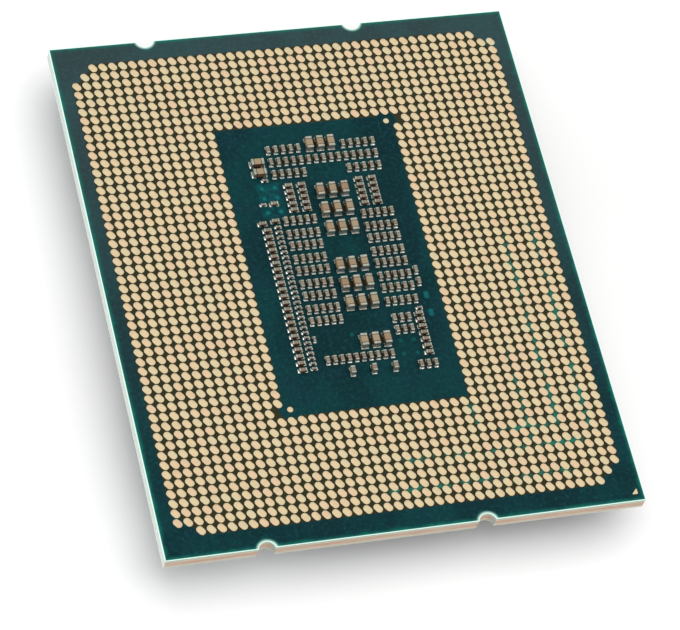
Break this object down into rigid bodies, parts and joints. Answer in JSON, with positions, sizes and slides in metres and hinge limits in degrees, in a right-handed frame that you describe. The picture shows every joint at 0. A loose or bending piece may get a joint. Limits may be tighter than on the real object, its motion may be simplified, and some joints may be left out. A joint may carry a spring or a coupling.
{
  "type": "cpu processor",
  "caption": "Flat processor package lying lid down: square-cornered laminate board with a field of tilted gold contact lands around a window of tiny capacitors, and a metal lid below.",
  "frame": {"origin": "centre of the lid's outer face, at the bottom of the package", "axes": "+Z from the lid towards the contact lands, +Y along the long side towards the end row of lands that is farthest from the pin-one mark, +X so that the pin-one mark is at the +X -Y corner"},
  "size_m": [0.0376, 0.045, 0.0049],
  "materials": {
    "laminate": "cream fibre and resin laminate, sawn edge",
    "laminate_film": "pale resin film",
    "copper": "bright copper line",
    "solder_mask": "dark teal-green lacquer, satin",
    "gold": "pale satin gold plating",
    "capacitor_ceramic": "tan fired ceramic",
    "tin": "matt tin plating",
    "solder": "reflowed solder, satin",
    "lid_metal": "nickel-plated copper, satin",
    "sealant": "black silicone",
    "silicon": "ground silicon",
    "underfill": "dark epoxy",
    "indium": "soft indium solder"
  },
  "bodies": {
    "root": {"core_laminate": "laminate", "land_side_copper_plane": "copper", "die_side_copper_plane": "copper", "land_side_buildup": "laminate_film", "die_side_buildup": "laminate_film", "land_side_solder_mask": "solder_mask", "die_side_solder_mask": "solder_mask", "contact_lands_far": "gold", "contact_lands_near": "gold", "contact_lands_left": "gold", "contact_lands_right": "gold", "fiducial_dots": "gold", "pin_one_mark": "gold", "lid_side_pin_one_mark": "gold", "large_capacitor_bodies": "capacitor_ceramic", "large_capacitor_terminals": "tin", "tall_capacitor_bodies": "capacitor_ceramic", "tall_capacitor_terminals": "tin", "medium_capacitor_bodies": "capacitor_ceramic", "medium_capacitor_terminals": "tin", "small_chip_bodies": "capacitor_ceramic", "small_chip_terminals": "tin", "chip_pads": "gold", "chip_solder_joints": "solder", "heat_spreader": "lid_metal", "lid_sealant": "sealant", "silicon_die": "silicon", "solder_bump_layer": "solder", "underfill": "underfill", "thermal_interface": "indium"}
  },
  "joints": []
}
